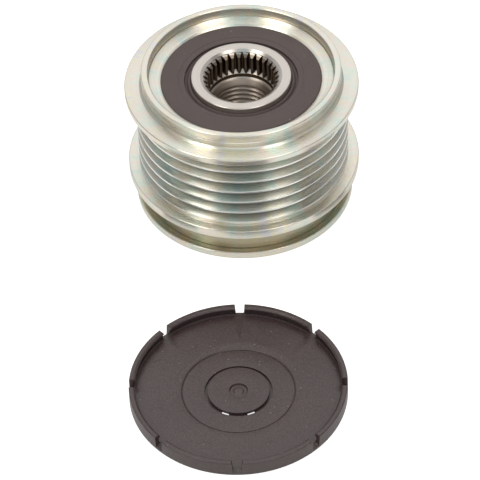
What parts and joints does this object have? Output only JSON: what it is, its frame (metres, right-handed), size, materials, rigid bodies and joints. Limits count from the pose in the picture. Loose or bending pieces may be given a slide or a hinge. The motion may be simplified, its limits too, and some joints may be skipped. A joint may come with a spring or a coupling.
{
  "type": "overrunning alternator pulley",
  "caption": "Ribbed alternator belt pulley with an overrunning clutch and needle bearings between ring and threaded hub, its protective cap lying beside it.",
  "frame": {"origin": "on the pulley's axis, in the plane of the hub's rear face, which seats on the alternator shaft's shoulder", "axes": "+Z along the pulley's axis towards its front, where the tool socket opens; the cap lies on the -Y side"},
  "size_m": [0.0613, 0.1345, 0.0407],
  "materials": {
    "zinc_plated_steel": "turned steel with a clear iridescent zinc plating",
    "hub_steel": "satin turned steel",
    "hardened_steel": "hardened and ground",
    "roller_steel": "fine ground bearing steel",
    "spring_steel": "rolled spring strip",
    "cage_plastic": "glass filled moulding",
    "washer_plastic": "low friction moulding",
    "seal_rubber": "satin moulded rubber",
    "cap_plastic": "fine grained moulding"
  },
  "bodies": {
    "pulley": {"pulley_ring": "zinc_plated_steel", "clutch_sleeve": "hardened_steel", "clutch_cage": "cage_plastic", "clutch_rollers": "roller_steel", "clutch_springs": "spring_steel", "front_thrust_washer": "washer_plastic", "rear_thrust_washer": "washer_plastic", "front_seal_case": "hardened_steel", "front_seal_lip": "seal_rubber", "rear_seal_case": "hardened_steel", "rear_seal_lip": "seal_rubber", "protective_cap": "cap_plastic"},
    "hub": {"hub": "hub_steel", "inner_race": "roller_steel", "front_support_ring": "hardened_steel", "rear_support_ring": "hardened_steel"},
    "front_bearing": {"front_needle_cage": "cage_plastic", "front_needles": "roller_steel"},
    "rear_bearing": {"rear_needle_cage": "cage_plastic", "rear_needles": "roller_steel"}
  },
  "joints": [
    {"name": "freewheel", "type": "hinge", "parent": "pulley", "child": "hub", "pos_m": [0, 0, 0.019], "axis": [0, 0, 1], "continuous": true},
    {"name": "front_cage_spin", "type": "hinge", "parent": "pulley", "child": "front_bearing", "pos_m": [0, 0, 0.0285], "axis": [0, 0, 1], "continuous": true},
    {"name": "rear_cage_spin", "type": "hinge", "parent": "pulley", "child": "rear_bearing", "pos_m": [0, 0, 0.0093], "axis": [0, 0, 1], "continuous": true}
  ],
  "couplings": [
    {"joint": "front_cage_spin", "follows": "freewheel", "ratio": 0.46106},
    {"joint": "rear_cage_spin", "follows": "freewheel", "ratio": 0.46106}
  ]
}
